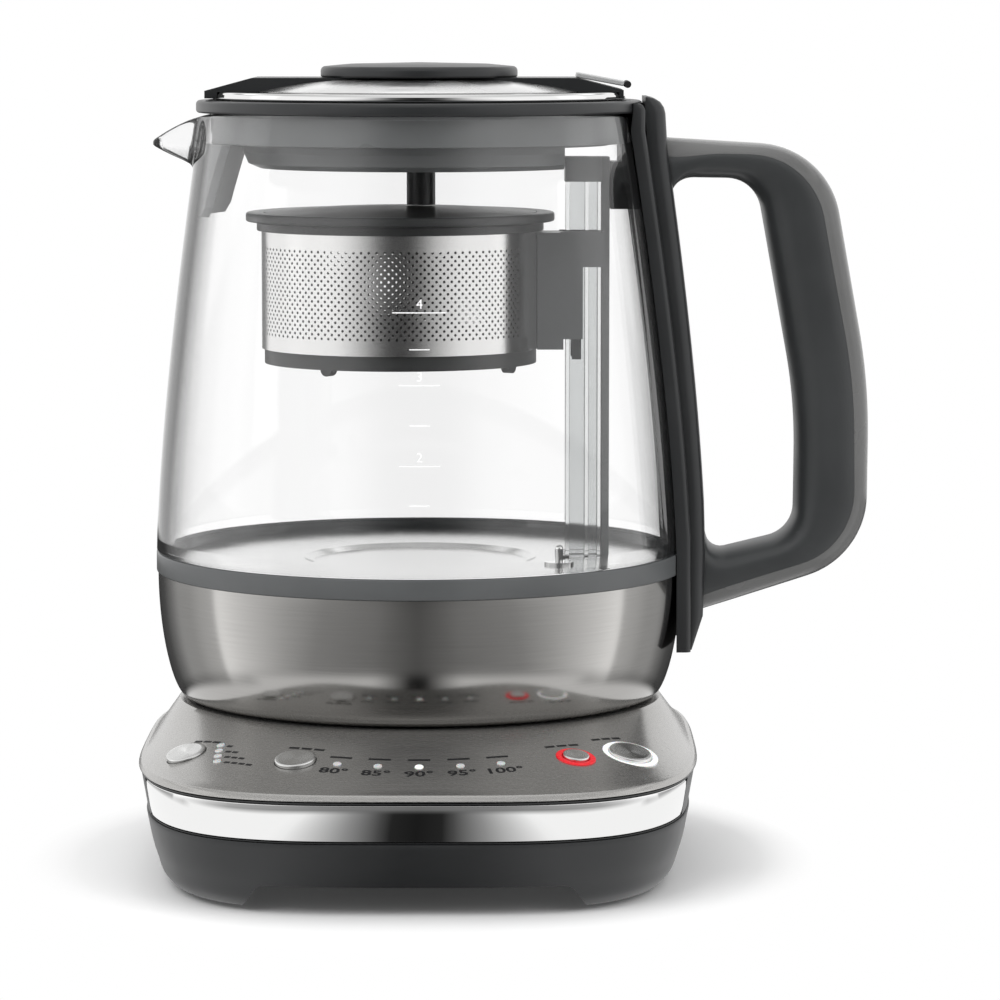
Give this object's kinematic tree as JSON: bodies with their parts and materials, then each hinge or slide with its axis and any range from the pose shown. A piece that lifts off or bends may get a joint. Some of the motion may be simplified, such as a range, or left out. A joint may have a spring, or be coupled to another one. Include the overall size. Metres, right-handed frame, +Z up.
{
  "type": "automatic tea maker",
  "caption": "Glass jug kettle with a steel bowl, hanging tea basket, lift-off lid and loop handle, standing on an electronic power base with push buttons.",
  "frame": {"origin": "on the vertical axis of the round jug seat, at table level", "axes": "+Z up, controls face -Y, spout towards -X, handle towards +X"},
  "size_m": [0.2235, 0.202, 0.2443],
  "materials": {
    "dark_plastic": "dark grey satin moulding",
    "mid_plastic": "mid grey satin moulding",
    "satin_metal": "satin metallic warm grey",
    "bowl_steel": "semi-polished warm grey steel",
    "bright_steel": "mirror polished",
    "brushed_steel": "brushed, perforated round the drum",
    "button_metal": "spun satin caps",
    "glass": "clear borosilicate glass",
    "clear_plastic": "clear moulding",
    "rubber": "matte black",
    "silicone": "grey translucent silicone",
    "screw_steel": "zinc plated",
    "circuit_board": "solder mask",
    "element_aluminium": "cast",
    "red_light": "red translucent ring",
    "white_light": "white translucent lamp"
  },
  "bodies": {
    "base": {"base_housing": "dark_plastic", "base_frame": "dark_plastic", "base_cover": "satin_metal", "chrome_band": "bright_steel", "rubber_feet": "rubber", "base_screws": "screw_steel", "base_connector": "dark_plastic", "power_board": "circuit_board", "control_board": "circuit_board", "switches": "rubber", "keep_warm_ring": "red_light", "start_ring": "white_light", "strength_lights": "white_light", "temperature_lights": "white_light", "cord_inlet": "rubber"},
    "strength_button": {"strength_button": "button_metal"},
    "temperature_button": {"temperature_button": "button_metal"},
    "keep_warm_button": {"keep_warm_button": "button_metal"},
    "start_button": {"start_button": "button_metal"},
    "connector": {"jug_connector": "rubber"},
    "jug": {"glass_jug": "glass", "glass_seal": "rubber", "trim_ring": "mid_plastic", "jug_bowl": "bowl_steel", "heating_plate": "bright_steel", "heating_element": "element_aluminium", "jug_bottom_cover": "dark_plastic", "bottom_cover_screws": "screw_steel", "temperature_probe": "bright_steel", "collar": "mid_plastic", "spout_filter": "mid_plastic", "spout_strainer": "rubber", "mast_block": "dark_plastic", "riser_tube": "clear_plastic", "mast_strip": "dark_plastic", "tube_cap": "mid_plastic", "handle_strap": "dark_plastic", "handle_grip": "dark_plastic", "handle_spine": "mid_plastic", "handle_screws": "screw_steel"},
    "lid": {"lid_rim": "bright_steel", "lid_dome": "bright_steel", "lid_bridge": "dark_plastic", "lid_knob": "dark_plastic", "lid_plug": "dark_plastic", "lid_gasket": "silicone", "lid_stem": "dark_plastic", "lid_tab": "mid_plastic", "tab_tip": "rubber"},
    "basket": {"basket_drum": "brushed_steel", "basket_rim": "dark_plastic", "basket_foot_ring": "mid_plastic", "basket_floor": "brushed_steel", "basket_bracket": "dark_plastic", "basket_latch": "rubber"},
    "basket_lid": {"basket_lid": "dark_plastic"}
  },
  "joints": [
    {"name": "strength_press", "type": "slide", "parent": "base", "child": "strength_button", "axis": [0.2284, 0.2348, -0.9448], "range_m": [0, 0.0008], "stiffness_N_per_m": 400, "springref_m": -0.0004},
    {"name": "temperature_press", "type": "slide", "parent": "base", "child": "temperature_button", "axis": [0.0941, 0.2463, -0.9646], "range_m": [0, 0.0008], "stiffness_N_per_m": 400, "springref_m": -0.0004},
    {"name": "keep_warm_press", "type": "slide", "parent": "base", "child": "keep_warm_button", "axis": [-0.1262, 0.2295, -0.9651], "range_m": [0, 0.0008], "stiffness_N_per_m": 400, "springref_m": -0.0004},
    {"name": "start_press", "type": "slide", "parent": "base", "child": "start_button", "axis": [-0.1951, 0.2293, -0.9536], "range_m": [0, 0.0008], "stiffness_N_per_m": 400, "springref_m": -0.0004},
    {"name": "jug_lift", "type": "slide", "parent": "base", "child": "connector", "axis": [0, 0, 1], "range_m": [0, 0.1]},
    {"name": "jug_turn", "type": "hinge", "parent": "connector", "child": "jug", "pos_m": [0, 0, 0.0492], "axis": [0, 0, 1], "continuous": true},
    {"name": "lid_lift", "type": "slide", "parent": "jug", "child": "lid", "axis": [0, 0, 1], "range_m": [0, 0.17]},
    {"name": "basket_lift", "type": "slide", "parent": "jug", "child": "basket", "axis": [0, 0, 1], "range_m": [0, 0.0851]},
    {"name": "basket_lid_lift", "type": "slide", "parent": "basket", "child": "basket_lid", "axis": [0, 0, 1], "range_m": [0, 0.0341]}
  ],
  "couplings": [
    {"joint": "basket_lift", "follows": "lid_lift", "ratio": 0.5},
    {"joint": "basket_lid_lift", "follows": "lid_lift", "ratio": 0.2}
  ]
}
